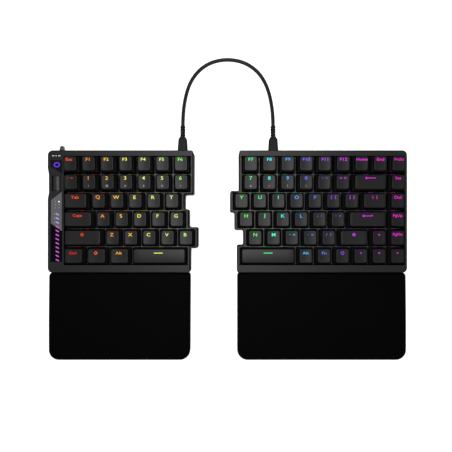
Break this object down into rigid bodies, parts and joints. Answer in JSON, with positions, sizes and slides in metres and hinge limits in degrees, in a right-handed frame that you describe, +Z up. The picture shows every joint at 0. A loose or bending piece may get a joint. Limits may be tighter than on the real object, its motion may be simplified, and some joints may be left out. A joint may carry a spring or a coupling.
{
  "type": "ergonomic split keyboard",
  "caption": "Low mechanical keyboard split into two stepped halves joined by a short cable, with sprung keys, a side wheel, fold-out feet and a cushioned wrist rest for each half.",
  "frame": {"origin": "on the desk, under the middle of the keyboard with its wrist rests, without the cable", "axes": "+X to the user's right along the rows of keys, +Y away from the user, +Z up"},
  "size_m": [0.3806, 0.3348, 0.0374],
  "materials": {
    "case": "matt black moulding",
    "frame": "fine matt dark grey",
    "plate": "matt black paint on steel",
    "board": "black solder mask",
    "switch": "smoky plastic",
    "screw": "steel",
    "rubber": "matt rubber",
    "plug": "moulded matt",
    "port_metal": "nickel",
    "battery": "foil wrapped cell",
    "lens": "smoked translucent panel",
    "smoked": "smoked",
    "wheel": "grooved rubber tyre",
    "chrome": "bright lever",
    "cable": "matt sheath",
    "rest": "soft-touch cushion",
    "keycap": "fine textured"
  },
  "bodies": {
    "left_half": {"left_bottom_case": "case", "left_top_frame": "frame", "left_switch_plate": "plate", "left_circuit_board": "board", "left_switches": "switch", "left_stabilisers": "switch", "left_case_screws": "screw", "left_rubber_feet": "rubber", "left_plug": "plug", "left_plug_shell": "port_metal", "left_usb_ports": "port_metal", "left_battery": "battery", "light_bar_lens": "lens", "indicator_lens": "smoked", "control_wheel_axle": "screw", "bridge_cable": "cable"},
    "right_half": {"right_bottom_case": "case", "right_top_frame": "frame", "right_switch_plate": "plate", "right_circuit_board": "board", "right_switches": "switch", "right_stabilisers": "switch", "right_case_screws": "screw", "right_rubber_feet": "rubber", "right_plug": "plug", "right_plug_shell": "port_metal", "right_bridge_port": "port_metal"},
    "left_wrist_rest": {"left_wrist_rest_base": "case", "left_wrist_rest_pad": "rest", "left_wrist_rest_feet": "rubber"},
    "left_outer_foot": {"left_outer_tilt_foot": "case"},
    "left_inner_foot": {"left_inner_tilt_foot": "case"},
    "right_wrist_rest": {"right_wrist_rest_base": "case", "right_wrist_rest_pad": "rest", "right_wrist_rest_feet": "rubber"},
    "right_outer_foot": {"right_outer_tilt_foot": "case"},
    "right_inner_foot": {"right_inner_tilt_foot": "case"},
    "control_wheel": {"control_wheel": "wheel"},
    "mode_lever": {"mode_lever": "chrome"},
    "left_function_row_keys": {"left_function_row_keys": "keycap"},
    "left_number_row_keys": {"left_number_row_keys": "keycap"},
    "left_upper_row_keys": {"left_upper_row_keys": "keycap"},
    "left_home_row_keys": {"left_home_row_keys": "keycap"},
    "left_lower_row_keys": {"left_lower_row_keys": "keycap"},
    "left_bottom_row_keys": {"left_bottom_row_keys": "keycap"},
    "tab_key": {"tab_key": "keycap"},
    "caps_lock_key": {"caps_lock_key": "keycap"},
    "left_shift_key": {"left_shift_key": "keycap"},
    "left_space_bar": {"left_space_bar": "keycap"},
    "right_function_row_keys": {"right_function_row_keys": "keycap"},
    "right_number_row_keys": {"right_number_row_keys": "keycap"},
    "right_upper_row_keys": {"right_upper_row_keys": "keycap"},
    "right_home_row_keys": {"right_home_row_keys": "keycap"},
    "right_lower_row_keys": {"right_lower_row_keys": "keycap"},
    "right_bottom_row_keys": {"right_bottom_row_keys": "keycap"},
    "backspace_key": {"backspace_key": "keycap"},
    "enter_key": {"enter_key": "keycap"},
    "right_shift_key": {"right_shift_key": "keycap"},
    "right_space_bar": {"right_space_bar": "keycap"}
  },
  "joints": [
    {"name": "halves_apart", "type": "slide", "parent": "left_half", "child": "right_half", "axis": [1, 0, 0], "range_m": [-0.0385, 0.06], "deforming": ["bridge_cable"]},
    {"name": "left_wrist_rest_away", "type": "slide", "parent": "left_half", "child": "left_wrist_rest", "axis": [0, -1, 0], "range_m": [0, 0.06]},
    {"name": "right_wrist_rest_away", "type": "slide", "parent": "right_half", "child": "right_wrist_rest", "axis": [0, -1, 0], "range_m": [0, 0.06]},
    {"name": "left_outer_foot_fold", "type": "hinge", "parent": "left_half", "child": "left_outer_foot", "pos_m": [-0.157, 0.09682, 0.0042], "axis": [1, 0, 0], "range_deg": [0, 80]},
    {"name": "left_inner_foot_fold", "type": "hinge", "parent": "left_half", "child": "left_inner_foot", "pos_m": [-0.07035, 0.09682, 0.0042], "axis": [1, 0, 0], "range_deg": [0, 80]},
    {"name": "right_outer_foot_fold", "type": "hinge", "parent": "right_half", "child": "right_outer_foot", "pos_m": [0.157, 0.09682, 0.0042], "axis": [1, 0, 0], "range_deg": [0, 80]},
    {"name": "right_inner_foot_fold", "type": "hinge", "parent": "right_half", "child": "right_inner_foot", "pos_m": [0.0466, 0.09682, 0.0042], "axis": [1, 0, 0], "range_deg": [0, 80]},
    {"name": "control_wheel_turn", "type": "hinge", "parent": "left_half", "child": "control_wheel", "pos_m": [-0.1796, 0.07354, 0.02344], "axis": [0, 0.9981, 0.061], "continuous": true},
    {"name": "mode_lever_slide", "type": "slide", "parent": "left_half", "child": "mode_lever", "axis": [1, 0, 0], "range_m": [-0.0025, 0.0025]},
    {"name": "left_function_row_keys_press", "type": "slide", "parent": "left_half", "child": "left_function_row_keys", "axis": [0, 0.061, -0.9981], "range_m": [0, 0.0035], "stiffness_N_per_m": 497, "springref_m": -0.0049},
    {"name": "left_number_row_keys_press", "type": "slide", "parent": "left_half", "child": "left_number_row_keys", "axis": [0, 0.061, -0.9981], "range_m": [0, 0.0035], "stiffness_N_per_m": 497, "springref_m": -0.0049},
    {"name": "left_upper_row_keys_press", "type": "slide", "parent": "left_half", "child": "left_upper_row_keys", "axis": [0, 0.061, -0.9981], "range_m": [0, 0.0035], "stiffness_N_per_m": 355, "springref_m": -0.0049},
    {"name": "left_home_row_keys_press", "type": "slide", "parent": "left_half", "child": "left_home_row_keys", "axis": [0, 0.061, -0.9981], "range_m": [0, 0.0035], "stiffness_N_per_m": 355, "springref_m": -0.0049},
    {"name": "left_lower_row_keys_press", "type": "slide", "parent": "left_half", "child": "left_lower_row_keys", "axis": [0, 0.061, -0.9981], "range_m": [0, 0.0035], "stiffness_N_per_m": 355, "springref_m": -0.0049},
    {"name": "left_bottom_row_keys_press", "type": "slide", "parent": "left_half", "child": "left_bottom_row_keys", "axis": [0, 0.061, -0.9981], "range_m": [0, 0.0035], "stiffness_N_per_m": 213, "springref_m": -0.0049},
    {"name": "tab_key_press", "type": "slide", "parent": "left_half", "child": "tab_key", "axis": [0, 0.061, -0.9981], "range_m": [0, 0.0035], "stiffness_N_per_m": 71, "springref_m": -0.0049},
    {"name": "caps_lock_key_press", "type": "slide", "parent": "left_half", "child": "caps_lock_key", "axis": [0, 0.061, -0.9981], "range_m": [0, 0.0035], "stiffness_N_per_m": 71, "springref_m": -0.0049},
    {"name": "left_shift_key_press", "type": "slide", "parent": "left_half", "child": "left_shift_key", "axis": [0, 0.061, -0.9981], "range_m": [0, 0.0035], "stiffness_N_per_m": 71, "springref_m": -0.0049},
    {"name": "left_space_bar_press", "type": "slide", "parent": "left_half", "child": "left_space_bar", "axis": [0, 0.061, -0.9981], "range_m": [0, 0.0035], "stiffness_N_per_m": 71, "springref_m": -0.0049},
    {"name": "right_function_row_keys_press", "type": "slide", "parent": "right_half", "child": "right_function_row_keys", "axis": [0, 0.061, -0.9981], "range_m": [0, 0.0035], "stiffness_N_per_m": 639, "springref_m": -0.0049},
    {"name": "right_number_row_keys_press", "type": "slide", "parent": "right_half", "child": "right_number_row_keys", "axis": [0, 0.061, -0.9981], "range_m": [0, 0.0035], "stiffness_N_per_m": 497, "springref_m": -0.0049},
    {"name": "right_upper_row_keys_press", "type": "slide", "parent": "right_half", "child": "right_upper_row_keys", "axis": [0, 0.061, -0.9981], "range_m": [0, 0.0035], "stiffness_N_per_m": 639, "springref_m": -0.0049},
    {"name": "right_home_row_keys_press", "type": "slide", "parent": "right_half", "child": "right_home_row_keys", "axis": [0, 0.061, -0.9981], "range_m": [0, 0.0035], "stiffness_N_per_m": 497, "springref_m": -0.0049},
    {"name": "right_lower_row_keys_press", "type": "slide", "parent": "right_half", "child": "right_lower_row_keys", "axis": [0, 0.061, -0.9981], "range_m": [0, 0.0035], "stiffness_N_per_m": 497, "springref_m": -0.0049},
    {"name": "right_bottom_row_keys_press", "type": "slide", "parent": "right_half", "child": "right_bottom_row_keys", "axis": [0, 0.061, -0.9981], "range_m": [0, 0.0035], "stiffness_N_per_m": 426, "springref_m": -0.0049},
    {"name": "backspace_key_press", "type": "slide", "parent": "right_half", "child": "backspace_key", "axis": [0, 0.061, -0.9981], "range_m": [0, 0.0035], "stiffness_N_per_m": 71, "springref_m": -0.0049},
    {"name": "enter_key_press", "type": "slide", "parent": "right_half", "child": "enter_key", "axis": [0, 0.061, -0.9981], "range_m": [0, 0.0035], "stiffness_N_per_m": 71, "springref_m": -0.0049},
    {"name": "right_shift_key_press", "type": "slide", "parent": "right_half", "child": "right_shift_key", "axis": [0, 0.061, -0.9981], "range_m": [0, 0.0035], "stiffness_N_per_m": 71, "springref_m": -0.0049},
    {"name": "right_space_bar_press", "type": "slide", "parent": "right_half", "child": "right_space_bar", "axis": [0, 0.061, -0.9981], "range_m": [0, 0.0035], "stiffness_N_per_m": 71, "springref_m": -0.0049}
  ]
}
